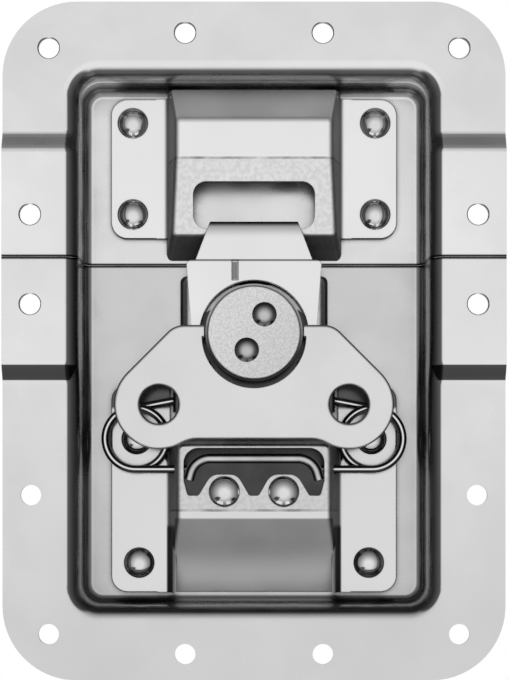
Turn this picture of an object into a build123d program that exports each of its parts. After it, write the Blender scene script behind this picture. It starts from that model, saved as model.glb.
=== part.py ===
from build123d import *
from math import acos, asin, atan2, cos, degrees, hypot, radians, sin, tan
import os

# Recessed butterfly draw latch in a two-part pressed-steel dish, lying on its back.
# Origin: centre of the dish's outline, on the flange face that meets the case.
# +X to the right, +Y towards the lid half, +Z out of the case. Millimetres.

# ---------------------------------------------------------------- dish
DISH_WIDTH = 127.0
DISH_LENGTH = 171.4
DISH_CORNER_R = 18.8
SHEET = 1.2
WELL_DEPTH = 14.0  # flange top to floor
WELL_WIDTH = 88.0  # at the floor, before its edge is rounded
END_FLANGE = 19.1  # from the dish's end to the well, measured as its width is
WELL_CORNER_R = 4.8
WELL_DRAFT = 1.5  # degrees from upright
RIM_R = 4.0
FLOOR_R = 2.3
BAND_RAISE = 2.0  # the flange stands higher beside the joint of the two halves
BAND_TOP_Y = 48.3
BAND_FOOT_Y = -6.0
BAND_RAMP = 4.0
BAND_BEND_R = 4.2
SPLIT_Y = 21.0
SPLIT_GAP = 0.15

HOLE_R = 2.6
HOLE_EDGE_R = 0.3
CORNER_HOLE_INSET = 11.65
SIDE_HOLE_INSET = 7.15
LID_END_HOLE_INSET = 7.8
BASE_END_HOLE_INSET = 6.6
END_HOLE_X = 17.4
LID_HOLE_Y = 31.7
BASE_HOLE_Y = 9.15
SIDE_HOLE_Y = -38.9

# ---------------------------------------------------------------- brackets
PLATE = 1.5
BRACKET_CORNER_R = 4.3
BRACKET_EDGE_R = 1.8
BRACKET_FOOT_R = 1.5
BRACKET_END_GAP = 0.25  # to the rounded edge of the well's floor
PLATE_EDGE_R = 0.3

KEEPER_FOOT_X = 22.8
KEEPER_TOP_X = 20.1
KEEPER_FLANGE_X = 37.2
KEEPER_FLANGE_Y = 27.85
KEEPER_FRONT_Y = 22.2
KEEPER_NOSE_Y = 28.2
KEEPER_CREST_INSET = 16.7  # from the bracket's rear end, as the next one is
KEEPER_REAR_INSET = 7.1
KEEPER_NOSE_HEIGHT = 6.05
KEEPER_HEIGHT = 10.2
KEEPER_TAIL_RISE = 3.9
KEEPER_TAIL_REACH = 1.8
KEEPER_NOSE_BEND_R = 2.4
KEEPER_CREST_BEND_R = 3.5
KEEPER_REAR_BEND_R = 3.0
SLOT_LAND = 1.4  # from the nose to the slot
SLOT_WIDTH = 31.2
SLOT_REAR_Y = 41.3
SLOT_R = 3.3

BODY_FOOT_X = 22.6
BODY_TOP_X = 19.6
BODY_FLANGE_X = 37.1
BODY_FLANGE_Y = -10.0
HUMP_FRONT_Y = -25.1
HUMP_REAR_Y = -44.6
HUMP_HEIGHT = 8.5
HUMP_FRONT_BEND_R = 2.0
HUMP_REAR_BEND_R = 3.0
DECK_FOOT_X = 19.2
DECK_TOP_X = 17.5
DECK_FRONT_Y = 18.2
DECK_HEIGHT = 4.1
DECK_SLANT = 1.4
DECK_BEND_R = 2.0

# ---------------------------------------------------------------- rivets
RIVET_R = 2.0
RIVET_FIT = 0.05
RIVET_HEAD_R = 4.0
RIVET_HEAD_H = 2.2
SHOP_HEAD_R = 3.3
SHOP_HEAD_H = 1.2
SHOP_HEAD_CHAMFER = 0.45
KEEPER_RIVET_X = 31.5
KEEPER_RIVET_FRONT_INSET = 6.25
KEEPER_RIVET_REAR_INSET = 6.3
BODY_RIVET_X = 29.85
BODY_RIVET_REAR_INSET = 7.7
COIL_X = 30.5
COIL_Y = -24.3

# ---------------------------------------------------------------- hub
HUB_Y = 2.2
HUB_R = 12.3
HUB_THICK = 3.8
HUB_PROUD = 0.7  # of the wing
NECK_R = 9.0
THROW = 3.0
ECCENTRIC_R = 5.6
SHAFT_R = 2.5
RUNNING_FIT = 0.06
STACK_GAP = 0.1
WASHER_R = 6.0
WASHER_THICK = 0.8
RING_THICK = 0.8
RING_R = 4.5
GROOVE_R = 1.9
SHAFT_END = 0.3
CAP_R = 11.8
CAP_THICK = 1.0
CAP_EDGE_R = 0.55
CAP_RIVET_SHIFT = 0.4
CAP_RIVET_REACH = 5.0
CAP_RIVET_ANGLE = 63.5
CAP_RIVET_HEAD_R = 3.1
CAP_RIVET_HEAD_H = 1.2
CAP_RIVET_R = 1.5
CAP_RIVET_LENGTH = 4.0

# ---------------------------------------------------------------- wing
WING_THICK = 2.2
WING_LIFT = 2.8  # from the hook plate up to the wing
EAR_GAP = 0.3
EAR_TOP_Y = 4.25
SHOULDER_X = 20.15
SHOULDER_R = 5.9
BAY_R = 13.2
BAY_Y = 1.4
LOBE_X = 24.1
LOBE_Y = -15.85
LOBE_R = 11.4
LOBE_HOLE_R = 4.9
WING_FOOT_Y = -24.7
WING_BLEND_R = 8.0
WING_EDGE_R = 0.8
KNUCKLE_R = 1.5
WING_PIN_R = 0.8
WING_PIN_DEPTH = 5.5

# ---------------------------------------------------------------- slider and hook
SLIDER_THICK = 1.5
SLIDER_GAP = 0.2
SLIDER_X = 13.5
SLIDER_NOSE = 3.4
YOKE_SPARE = 0.75
CROSSBAR_FRONT_Y = -9.4
CROSSBAR_REAR_Y = -17.5
EAR_X = 19.4
EAR_THICK = 1.5
EAR_WIDTH = 6.0
EAR_BEND_R = 1.3
EAR_FLOOR_GAP = 0.6
LUG_THICK = 1.5

HOOK_THICK = 1.6
HOOK_GAP = 0.6
HOOK_TIP_X = 11.2
HOOK_ROOT_X = 15.0
HOOK_SHOULDER_Y = 21.4
HOOK_SHOULDER_X = 17.4
HOOK_SHOULDER_R = 1.3
HOOK_ARM_X = 16.2
HOOK_ARM_Y = 5.0
HOOK_BAY_R = 14.0
LIP_DEPTH = 3.6
LIP_GAP = 0.2
LIP_BEND_R = 1.55
GROOVE_X = -4.85
GROOVE_WIDTH = 1.7
GROOVE_DEPTH = 0.3
PIVOT_Y = -6.0
PIVOT_RISE = 0.9  # the pin's axis above the hook plate's underside
HOOK_PIN_R = 1.0
HOOK_KNUCKLE_R = 1.9
HOOK_PIN_HEAD_R = 1.4
HOOK_PIN_HEAD = 0.9
PIN_SEAT = 0.01
SIDE_GAP = 0.3

# ---------------------------------------------------------------- spring and saddle
WIRE_R = 1.0
COIL_R = 7.9
COIL_PITCH = 2.25
WIRE_SEAT_GAP = 0.1
TAIL_Y = -14.3
TAIL_PAST = 0.35
WIRE_HOLE_SPARE = 0.15
TAIL_HOLE_SPARE = 0.6

SADDLE_THICK = 1.0
SADDLE_X = 18.0
SADDLE_REAR_Y = -44.0
RIB_Y = -29.5
RIB_R = 1.25
RIB_SIDE_X = 16.7
RIB_END_Y = -35.0
RIB_BEND_R = 5.0
RIB_LEAN = 1.6
SADDLE_RIVET_X = 7.6
SADDLE_RIVET_Y = -38.0
SADDLE_HEAD_H = 1.9
SADDLE_TAIL_H = 0.9
WINDOW_TOP_Y = -26.8
WINDOW_FOOT_Y = -39.0
WINDOW_X = 18.0
WINDOW_FOOT_END_X = 17.0
WINDOW_FOOT_X = 14.2
WINDOW_VALLEY_X = 1.2
WINDOW_TAB_Y = -33.6
WINDOW_TAB_X = 3.3
WINDOW_R = 3.8
WINDOW_FOOT_R = 0.8

# ---------------------------------------------------------------- worked-out levels
FLANGE_TOP = SHEET
FLOOR = FLANGE_TOP - WELL_DEPTH
FLOOR_BACK = FLOOR - SHEET
BRACKET_TOP = FLOOR + PLATE
DECK_TOP = FLOOR + DECK_HEIGHT
DECK_BACK = DECK_TOP - PLATE
HUMP_TOP = FLOOR + HUMP_HEIGHT
SLIDER_Z = DECK_TOP + SLIDER_GAP
SLIDER_TOP = SLIDER_Z + SLIDER_THICK
HOOK_Z = SLIDER_TOP + HOOK_GAP
HOOK_TOP = HOOK_Z + HOOK_THICK
PIVOT_Z = HOOK_Z + PIVOT_RISE
WING_Z = HOOK_TOP + WING_LIFT
WING_TOP = WING_Z + WING_THICK
WING_AXIS_Z = WING_TOP - KNUCKLE_R
HUB_TOP = WING_TOP + HUB_PROUD
HUB_Z = HUB_TOP - HUB_THICK
CAP_TOP = HUB_TOP + CAP_THICK
EAR_INNER_X = HUB_R + EAR_GAP

WELL_LENGTH = DISH_LENGTH - 2 * END_FLANGE
WELL_FLAT_Y = WELL_LENGTH / 2 - FLOOR_R * tan(radians(45 - WELL_DRAFT / 2))
BRACKET_END_Y = WELL_FLAT_Y - BRACKET_END_GAP
KEEPER_CREST_Y = BRACKET_END_Y - KEEPER_CREST_INSET
KEEPER_REAR_Y = BRACKET_END_Y - KEEPER_REAR_INSET
SLOT_FRONT_Y = KEEPER_NOSE_Y + SLOT_LAND
HOOK_TIP_Y = SLOT_FRONT_Y + LIP_GAP + HOOK_THICK
WIRE_LOW_Z = BRACKET_TOP + WIRE_SEAT_GAP + WIRE_R
WIRE_TOP_Z = WIRE_LOW_Z + COIL_PITCH
BAR_Y = COIL_Y - COIL_R
ECCENTRIC_Y = HUB_Y - THROW
FAR = DISH_LENGTH  # longer than anything that a cutting body has to pass through

KEEPER_RIVETS = [
    (x, y)
    for x in (-KEEPER_RIVET_X, KEEPER_RIVET_X)
    for y in (
        KEEPER_FLANGE_Y + KEEPER_RIVET_FRONT_INSET,
        BRACKET_END_Y - KEEPER_RIVET_REAR_INSET,
    )
]
BODY_RIVETS = [
    (side * x, y)
    for side in (-1, 1)
    for x, y in (
        (BODY_RIVET_X, BODY_RIVET_REAR_INSET - BRACKET_END_Y),
        (COIL_X, COIL_Y),
    )
]
SADDLE_RIVETS = [(-SADDLE_RIVET_X, SADDLE_RIVET_Y), (SADDLE_RIVET_X, SADDLE_RIVET_Y)]
CAP_RIVETS = [
    (
        CAP_RIVET_SHIFT + side * CAP_RIVET_REACH * cos(radians(CAP_RIVET_ANGLE)),
        HUB_Y + side * CAP_RIVET_REACH * sin(radians(CAP_RIVET_ANGLE)),
    )
    for side in (1, -1)
]

os.makedirs("parts", exist_ok=True)


def save(piece, name):
    """Label a finished piece and write it as its own STEP file."""
    piece.part.label = name
    export_step(piece.part, f"parts/{name}.step")


# ---------------------------------------------------------------- pressed dish
def flange_line(drop=0.0):
    """The flange's upper line along the dish, with its raised band."""
    low = FLANGE_TOP - drop
    high = low + BAND_RAISE
    return FilletPolyline(
        (-DISH_LENGTH, low),
        (BAND_FOOT_Y - BAND_RAMP, low),
        (BAND_FOOT_Y, high),
        (BAND_TOP_Y, high),
        (BAND_TOP_Y + BAND_RAMP, low),
        (DISH_LENGTH, low),
        radius=BAND_BEND_R,
    )


def well_sketch(grow):
    """The well's outline at its floor, grown outwards by a margin."""
    return RectangleRounded(
        WELL_WIDTH + 2 * grow,
        WELL_LENGTH + 2 * grow,
        WELL_CORNER_R + grow,
    )


WALL_GROW = SHEET / cos(radians(WELL_DRAFT)) - SHEET * tan(radians(WELL_DRAFT))
RISE = WELL_DEPTH + SHEET + 2 * BAND_RAISE

# The wall's outer side, from the floor's back up into the flange sheet.
with BuildPart() as well_block:
    with BuildSketch(Plane.XY.offset(FLOOR_BACK)):
        well_sketch(WALL_GROW)
    extrude(amount=RISE, taper=-WELL_DRAFT)
    with BuildSketch(Plane.YZ):
        with BuildLine():
            flange_line(SHEET / 2)
            Polyline(
                (DISH_LENGTH, FLANGE_TOP - SHEET / 2),
                (DISH_LENGTH, FLOOR_BACK - SHEET),
                (-DISH_LENGTH, FLOOR_BACK - SHEET),
                (-DISH_LENGTH, FLANGE_TOP - SHEET / 2),
            )
        make_face()
    extrude(amount=DISH_WIDTH, both=True, mode=Mode.INTERSECT)

with BuildPart() as pan:
    with BuildSketch(Plane.YZ):
        with BuildLine():
            flange_line()
            offset(amount=SHEET, side=Side.RIGHT)
        make_face()
    extrude(amount=DISH_WIDTH, both=True)
    with BuildSketch(Plane.XY.offset(-SHEET)):
        RectangleRounded(DISH_WIDTH, DISH_LENGTH, DISH_CORNER_R)
    extrude(amount=3 * SHEET + BAND_RAISE, mode=Mode.INTERSECT)
    add(well_block.part)
    with BuildSketch(Plane.XY.offset(FLOOR)):
        well_sketch(0)
    extrude(amount=RISE, taper=-WELL_DRAFT, mode=Mode.SUBTRACT)

    # One edge is picked of each closed, smoothly joined run round the well.
    wall_y = WELL_LENGTH / 2
    mouth_y = wall_y + WELL_DEPTH * tan(radians(WELL_DRAFT))
    for seed, radius in (
        ((0, wall_y, FLOOR), FLOOR_R),
        ((0, wall_y + WALL_GROW, FLOOR_BACK), FLOOR_R + SHEET),
        ((0, mouth_y, FLANGE_TOP), RIM_R),
        ((0, mouth_y + SHEET, 0), RIM_R - SHEET),
    ):
        fillet(edges().sort_by_distance(seed)[0], radius)
    # Screw or rivet holes round the flange, with the drawn-in edge of a punched hole.
    band_z = FLANGE_TOP + BAND_RAISE
    corner_x = DISH_WIDTH / 2 - CORNER_HOLE_INSET
    corner_y = DISH_LENGTH / 2 - CORNER_HOLE_INSET
    side_x = DISH_WIDTH / 2 - SIDE_HOLE_INSET
    end_ys = (
        DISH_LENGTH / 2 - LID_END_HOLE_INSET,
        BASE_END_HOLE_INSET - DISH_LENGTH / 2,
    )
    low_holes = [(x, y) for x in (-corner_x, corner_x) for y in (-corner_y, corner_y)]
    low_holes += [(x, y) for x in (-END_HOLE_X, END_HOLE_X) for y in end_ys]
    low_holes += [(-side_x, SIDE_HOLE_Y), (side_x, SIDE_HOLE_Y)]
    band_holes = [(x, y) for x in (-side_x, side_x) for y in (LID_HOLE_Y, BASE_HOLE_Y)]
    for top, holes in ((FLANGE_TOP, low_holes), (band_z, band_holes)):
        with BuildSketch(Plane.XY.offset(top)):
            with Locations(*holes):
                Circle(HOLE_R)
        extrude(amount=-SHEET, mode=Mode.SUBTRACT)
        punched = [edges().sort_by_distance((x + HOLE_R, y, top))[0] for x, y in holes]
        fillet(punched, HOLE_EDGE_R)


def rivet_holes(places, top):
    """The outline of the rivets' clearance holes, on a level."""
    with BuildSketch(Plane.XY.offset(top)) as holes:
        with Locations(*places):
            Circle(RIVET_R + RIVET_FIT)
    return holes.sketch


with BuildPart() as base_dish:
    add(pan.part)
    split(bisect_by=Plane.XZ.offset(SPLIT_GAP / 2 - SPLIT_Y), keep=Keep.TOP)
    extrude(rivet_holes(BODY_RIVETS, FLOOR), amount=-SHEET, mode=Mode.SUBTRACT)
save(base_dish, "base_dish")

with BuildPart() as lid_dish:
    add(pan.part)
    split(bisect_by=Plane.XZ.offset(-SPLIT_GAP / 2 - SPLIT_Y), keep=Keep.BOTTOM)
    extrude(rivet_holes(KEEPER_RIVETS, FLOOR), amount=-SHEET, mode=Mode.SUBTRACT)
save(lid_dish, "lid_dish")

# ---------------------------------------------------------------- folded brackets
SKIRT = FLOOR - 2 * PLATE


def run_down(upper, lower):
    """The point where the line through two profile points meets the skirt."""
    share = (SKIRT - upper[1]) / (lower[1] - upper[1])
    return (upper[0] + share * (lower[0] - upper[0]), SKIRT)


def hat(profile, bends, foot_x, top_x, top_z):
    """A solid hump: a side profile with drafted flanks and rounded edges.

    The form goes on below the floor, so that it can be hollowed and then cut
    off open at the floor.
    """
    front = run_down(profile[1], profile[0])
    rear = run_down(profile[-2], profile[-1])
    flank = (foot_x - top_x) / (top_z - FLOOR)
    low = foot_x + flank * (FLOOR - SKIRT)
    with BuildPart() as form:
        with BuildSketch(Plane.YZ):
            with BuildLine():
                FilletPolyline(front, *profile[1:-1], rear, radius=bends)
                Line(rear, front)
            make_face()
        extrude(amount=2 * foot_x, both=True)
        with BuildSketch(Plane.XZ):
            with BuildLine():
                Polyline(
                    (-low, SKIRT),
                    (low, SKIRT),
                    (top_x - flank, top_z + 1),
                    (flank - top_x, top_z + 1),
                    close=True,
                )
            make_face()
        extrude(amount=DISH_LENGTH, both=True, mode=Mode.INTERSECT)
        crest_y = (profile[-3][0] + profile[-2][0]) / 2
        flank_edges = [
            edges().sort_by_distance((x, crest_y, top_z))[0] for x in (-top_x, top_x)
        ]
        fillet(flank_edges, BRACKET_EDGE_R)
    return form.part


keeper_form = hat(
    [
        (KEEPER_FRONT_Y, FLOOR),
        (KEEPER_NOSE_Y, FLOOR + KEEPER_NOSE_HEIGHT),
        (KEEPER_CREST_Y, FLOOR + KEEPER_HEIGHT),
        (KEEPER_REAR_Y, FLOOR + KEEPER_HEIGHT),
        (BRACKET_END_Y + KEEPER_TAIL_REACH, FLOOR + KEEPER_TAIL_RISE),
    ],
    [KEEPER_NOSE_BEND_R, KEEPER_CREST_BEND_R, KEEPER_REAR_BEND_R],
    KEEPER_FOOT_X,
    KEEPER_TOP_X,
    FLOOR + KEEPER_HEIGHT,
)


def side_plates(foot_x, edge_x, near_y, far_y):
    """The bracket's two flat side plates, with rounded outer corners and edges."""
    width = edge_x - foot_x + PLATE / 2
    with BuildPart() as plates:
        with BuildSketch(Plane.XY.offset(FLOOR)) as outline:
            with Locations((edge_x - width / 2, (near_y + far_y) / 2)):
                Rectangle(width, far_y - near_y)
            fillet(outline.vertices().group_by(Axis.X)[-1], BRACKET_CORNER_R)
        extrude(amount=PLATE)
        outer_edges = edges().group_by(Axis.Z)[-1].sort_by(Axis.X)[1:]
        fillet(outer_edges, PLATE_EDGE_R)
        mirror(about=Plane.YZ)
    return plates.part


def foot_bends(foot_x, top_x, top_z, near_y, far_y):
    """The rounded inner corners in which the flanks turn into the side plates."""
    lean = (foot_x - top_x) / (top_z - FLOOR)
    corner_x = foot_x - lean * PLATE
    reach = 2 * BRACKET_FOOT_R
    with BuildPart() as bends:
        with BuildSketch(Plane.XZ.offset(-far_y)):
            with BuildLine():
                FilletPolyline(
                    (corner_x + reach, BRACKET_TOP),
                    (corner_x, BRACKET_TOP),
                    (corner_x - lean * reach, BRACKET_TOP + reach),
                    radius=BRACKET_FOOT_R,
                )
                Polyline(
                    (corner_x - lean * reach, BRACKET_TOP + reach),
                    (corner_x - lean * reach - PLATE / 2, BRACKET_TOP + reach),
                    (corner_x - PLATE / 2, BRACKET_TOP - PLATE / 2),
                    (corner_x + reach, BRACKET_TOP - PLATE / 2),
                    (corner_x + reach, BRACKET_TOP),
                )
            make_face()
        extrude(amount=far_y - near_y)
        mirror(about=Plane.YZ)
    return bends.part


keeper_plates = side_plates(KEEPER_FOOT_X, KEEPER_FLANGE_X, KEEPER_FLANGE_Y, BRACKET_END_Y)
keeper_bends = foot_bends(
    KEEPER_FOOT_X,
    KEEPER_TOP_X,
    FLOOR + KEEPER_HEIGHT,
    KEEPER_FLANGE_Y,
    BRACKET_END_Y,
)


with BuildPart() as keeper:
    add(keeper_form)
    offset(keeper_form, amount=-PLATE, mode=Mode.SUBTRACT)
    split(bisect_by=Plane.XY.offset(FLOOR), keep=Keep.TOP)
    # The rear end stays open and follows the well's end wall.
    with BuildSketch(Plane.YZ):
        with BuildLine():
            tail_y = BRACKET_END_Y + KEEPER_TAIL_REACH
            Polyline(
                (BRACKET_END_Y, FLOOR),
                (tail_y, FLOOR + KEEPER_TAIL_RISE),
                (tail_y, 0),
                (FAR, 0),
                (FAR, FLOOR),
                close=True,
            )
        make_face()
    extrude(amount=FAR, both=True, mode=Mode.SUBTRACT)
    add(keeper_plates)
    add(keeper_bends)
    extrude(rivet_holes(KEEPER_RIVETS, BRACKET_TOP), amount=-PLATE, mode=Mode.SUBTRACT)
    # The slot that the hook's lip drops into.
    slot_length = SLOT_REAR_Y - SLOT_FRONT_Y
    with BuildSketch(Plane.XY.offset(FLOOR + PLATE)):
        with Locations((0, SLOT_FRONT_Y + slot_length / 2)):
            RectangleRounded(SLOT_WIDTH, slot_length, SLOT_R)
    extrude(amount=KEEPER_HEIGHT, mode=Mode.SUBTRACT)
save(keeper, "keeper")

with BuildPart() as body_form:
    add(
        hat(
            [
                (HUMP_FRONT_Y + DECK_SLANT, FLOOR),
                (HUMP_FRONT_Y, HUMP_TOP),
                (HUMP_REAR_Y, HUMP_TOP),
                (-BRACKET_END_Y, FLOOR),
            ],
            [HUMP_FRONT_BEND_R, HUMP_REAR_BEND_R],
            BODY_FOOT_X,
            BODY_TOP_X,
            HUMP_TOP,
        )
    )
    deck_tail_y = HUMP_FRONT_Y - 2 * BRACKET_EDGE_R
    add(
        hat(
            [
                (DECK_FRONT_Y, FLOOR),
                (DECK_FRONT_Y - DECK_SLANT, DECK_TOP),
                (deck_tail_y, DECK_TOP),
                (deck_tail_y - DECK_SLANT, FLOOR),
            ],
            [DECK_BEND_R, DECK_BEND_R],
            DECK_FOOT_X,
            DECK_TOP_X,
            DECK_TOP,
        )
    )

body_plates = side_plates(BODY_FOOT_X, BODY_FLANGE_X, -BRACKET_END_Y, BODY_FLANGE_Y)
body_bends = foot_bends(BODY_FOOT_X, BODY_TOP_X, HUMP_TOP, -BRACKET_END_Y, HUMP_FRONT_Y)
with BuildPart() as latch_body:
    add(body_form.part)
    offset(body_form.part, amount=-PLATE, mode=Mode.SUBTRACT)
    split(bisect_by=Plane.XY.offset(FLOOR), keep=Keep.TOP)
    add(body_plates)
    add(body_bends)
    extrude(rivet_holes(BODY_RIVETS, BRACKET_TOP), amount=-PLATE, mode=Mode.SUBTRACT)
    # The hub's bearing hole in the deck.
    with BuildSketch(Plane.XY.offset(DECK_TOP)):
        with Locations((0, HUB_Y)):
            Circle(SHAFT_R + RUNNING_FIT)
    extrude(amount=-2 * PLATE, mode=Mode.SUBTRACT)
    # The window in the hump, notched round two riveted tabs.
    with BuildSketch(Plane.XY.offset(HUMP_TOP)) as window:
        with BuildLine():
            Polyline(
                (0, WINDOW_TOP_Y),
                (WINDOW_X, WINDOW_TOP_Y),
                (WINDOW_X, WINDOW_FOOT_Y + WINDOW_R),
                (WINDOW_FOOT_END_X, WINDOW_FOOT_Y),
                (WINDOW_FOOT_X, WINDOW_FOOT_Y),
                (SADDLE_RIVET_X + WINDOW_TAB_X, WINDOW_TAB_Y),
                (SADDLE_RIVET_X - WINDOW_TAB_X, WINDOW_TAB_Y),
                (WINDOW_VALLEY_X, WINDOW_FOOT_Y),
                (0, WINDOW_FOOT_Y),
                close=True,
            )
        make_face()
        tab_xs = (SADDLE_RIVET_X - WINDOW_TAB_X, SADDLE_RIVET_X + WINDOW_TAB_X)
        foot_xs = (WINDOW_FOOT_END_X, WINDOW_FOOT_X, WINDOW_VALLEY_X)
        for xs, y, radius in (
            ((WINDOW_X,), WINDOW_TOP_Y, WINDOW_R),
            (tab_xs, WINDOW_TAB_Y, WINDOW_TAB_X),
            (foot_xs, WINDOW_FOOT_Y, WINDOW_FOOT_R),
        ):
            corners = [window.vertices().sort_by_distance((x, y, HUMP_TOP))[0] for x in xs]
            fillet(corners, radius)
        mirror(about=Plane.YZ)
    extrude(amount=-2 * PLATE, mode=Mode.SUBTRACT)
    # Holes in the hump's side walls for the spring, and in its top for rivets.
    with BuildSketch(Plane.YZ):
        with Locations((BAR_Y, WIRE_TOP_Z)):
            Circle(WIRE_R + WIRE_HOLE_SPARE)
    extrude(amount=2 * BODY_FOOT_X, both=True, mode=Mode.SUBTRACT)
    extrude(rivet_holes(SADDLE_RIVETS, HUMP_TOP), amount=-2 * PLATE, mode=Mode.SUBTRACT)
save(latch_body, "latch_body")


# ---------------------------------------------------------------- rivets
def rivet(place, seat, head_r, head_h, shank_r, tail, tail_r, tail_h):
    """A domed rivet: head above its seat, shank, and a flat shop head below.

    A tail height of zero leaves a plain shank, as on a drive rivet.
    """
    turning = Plane(origin=(*place, 0), x_dir=(1, 0, 0), z_dir=(0, -1, 0))
    dome_r = (head_r**2 + head_h**2) / (2 * head_h)
    half = asin(head_r / dome_r) / 2
    shop_head = [
        (tail_r, tail),
        (tail_r, tail - tail_h + SHOP_HEAD_CHAMFER),
        (tail_r - SHOP_HEAD_CHAMFER, tail - tail_h),
    ]
    with BuildPart() as piece:
        with BuildSketch(turning):
            with BuildLine():
                ThreePointArc(
                    (0, seat + head_h),
                    (dome_r * sin(half), seat + head_h - dome_r * (1 - cos(half))),
                    (head_r, seat),
                )
                Polyline(
                    (head_r, seat),
                    (shank_r, seat),
                    (shank_r, tail),
                    *(shop_head if tail_h else []),
                    (0, tail - tail_h),
                    (0, seat + head_h),
                )
            make_face()
        revolve(axis=Axis((*place, 0), (0, 0, 1)))
    return piece


for group, places in (("keeper_rivet", KEEPER_RIVETS), ("body_rivet", BODY_RIVETS)):
    for number, place in enumerate(places, start=1):
        piece = rivet(
            place,
            BRACKET_TOP,
            RIVET_HEAD_R,
            RIVET_HEAD_H,
            RIVET_R,
            FLOOR_BACK,
            SHOP_HEAD_R,
            SHOP_HEAD_H,
        )
        save(piece, f"{group}_{number}")

# ---------------------------------------------------------------- spring and saddle
SADDLE_TOP = HUMP_TOP - PLATE
SADDLE_Z = SADDLE_TOP - SADDLE_THICK
with BuildPart() as spring_saddle:
    plate_front = RIB_Y + RIB_R
    with BuildSketch(Plane.XY.offset(SADDLE_Z)) as saddle_plate:
        with Locations((0, (SADDLE_REAR_Y + plate_front) / 2)):
            Rectangle(2 * SADDLE_X, plate_front - SADDLE_REAR_Y)
        fillet(saddle_plate.vertices().group_by(Axis.Y)[-1], RIB_BEND_R + RIB_R)
    extrude(amount=SADDLE_THICK)
    # A raised rib follows the plate's front edge and dips out of it at both ends.
    with BuildLine(Plane.XY.offset(SADDLE_TOP)) as rib_line:
        FilletPolyline(
            (-RIB_SIDE_X, RIB_END_Y),
            (-RIB_SIDE_X + RIB_LEAN, RIB_Y),
            (RIB_SIDE_X - RIB_LEAN, RIB_Y),
            (RIB_SIDE_X, RIB_END_Y),
            radius=RIB_BEND_R,
        )
    with BuildSketch(Plane(origin=rib_line.line @ 0, z_dir=rib_line.line % 0)):
        Circle(RIB_R)
    sweep(path=rib_line.line)
    with BuildSketch(Plane.XY.offset(SADDLE_Z)):
        Rectangle(FAR, FAR)
    extrude(amount=-2 * RIB_R, mode=Mode.SUBTRACT)
    extrude(rivet_holes(SADDLE_RIVETS, SADDLE_TOP), amount=-2 * SADDLE_THICK, mode=Mode.SUBTRACT)
save(spring_saddle, "spring_saddle")

for side, place in zip(("left", "right"), SADDLE_RIVETS):
    piece = rivet(
        place,
        HUMP_TOP,
        RIVET_HEAD_R,
        SADDLE_HEAD_H,
        RIVET_R,
        SADDLE_Z,
        SHOP_HEAD_R,
        SADDLE_TAIL_H,
    )
    save(piece, f"saddle_rivet_{side}")

# The wire: a bar across the hump, a coil round each of the two inner rivets
# and a tail to each of the slider's ears.
EAR_MID_X = EAR_X + EAR_THICK / 2
tail_run = hypot(EAR_MID_X - COIL_X, TAIL_Y - COIL_Y)
tail_turn = degrees(
    atan2(TAIL_Y - COIL_Y, EAR_MID_X - COIL_X) - acos(COIL_R / tail_run)
)
leave_x = COIL_X + COIL_R * cos(radians(tail_turn))
leave_y = COIL_Y + COIL_R * sin(radians(tail_turn))
tail_slope = (TAIL_Y - leave_y) / (EAR_MID_X - leave_x)
tail_end_x = EAR_X - TAIL_PAST
tail_end_y = TAIL_Y + tail_slope * (tail_end_x - EAR_MID_X)
coil_mid_z = (WIRE_TOP_Z + WIRE_LOW_Z) / 2
ramp_r = hypot(COIL_R, COIL_PITCH / 2)
ramp_plane = Plane(
    origin=(COIL_X, COIL_Y, coil_mid_z),
    x_dir=(0, COIL_R, COIL_PITCH / 2),
    z_dir=(0, -COIL_PITCH / 2, COIL_R),
)
with BuildPart() as draw_spring:
    with BuildLine() as wire:
        Line((0, BAR_Y, WIRE_TOP_Z), (COIL_X, BAR_Y, WIRE_TOP_Z))
        ThreePointArc(
            (COIL_X, BAR_Y, WIRE_TOP_Z),
            (COIL_X + COIL_R, COIL_Y, WIRE_TOP_Z),
            (COIL_X, COIL_Y + COIL_R, WIRE_TOP_Z),
        )
        ThreePointArc(
            (COIL_X, COIL_Y + COIL_R, WIRE_TOP_Z),
            (COIL_X - ramp_r, COIL_Y, coil_mid_z),
            (COIL_X, BAR_Y, WIRE_LOW_Z),
        )
        ThreePointArc(
            (COIL_X, BAR_Y, WIRE_LOW_Z),
            (COIL_X + COIL_R, COIL_Y, WIRE_LOW_Z),
            (leave_x, leave_y, WIRE_LOW_Z),
        )
        Line((leave_x, leave_y, WIRE_LOW_Z), (tail_end_x, tail_end_y, WIRE_LOW_Z))
    with BuildSketch(Plane.YZ):
        with Locations((BAR_Y, WIRE_TOP_Z)):
            Circle(WIRE_R)
    sweep(path=wire.line)
    mirror(about=Plane.YZ)
save(draw_spring, "draw_spring")

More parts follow.
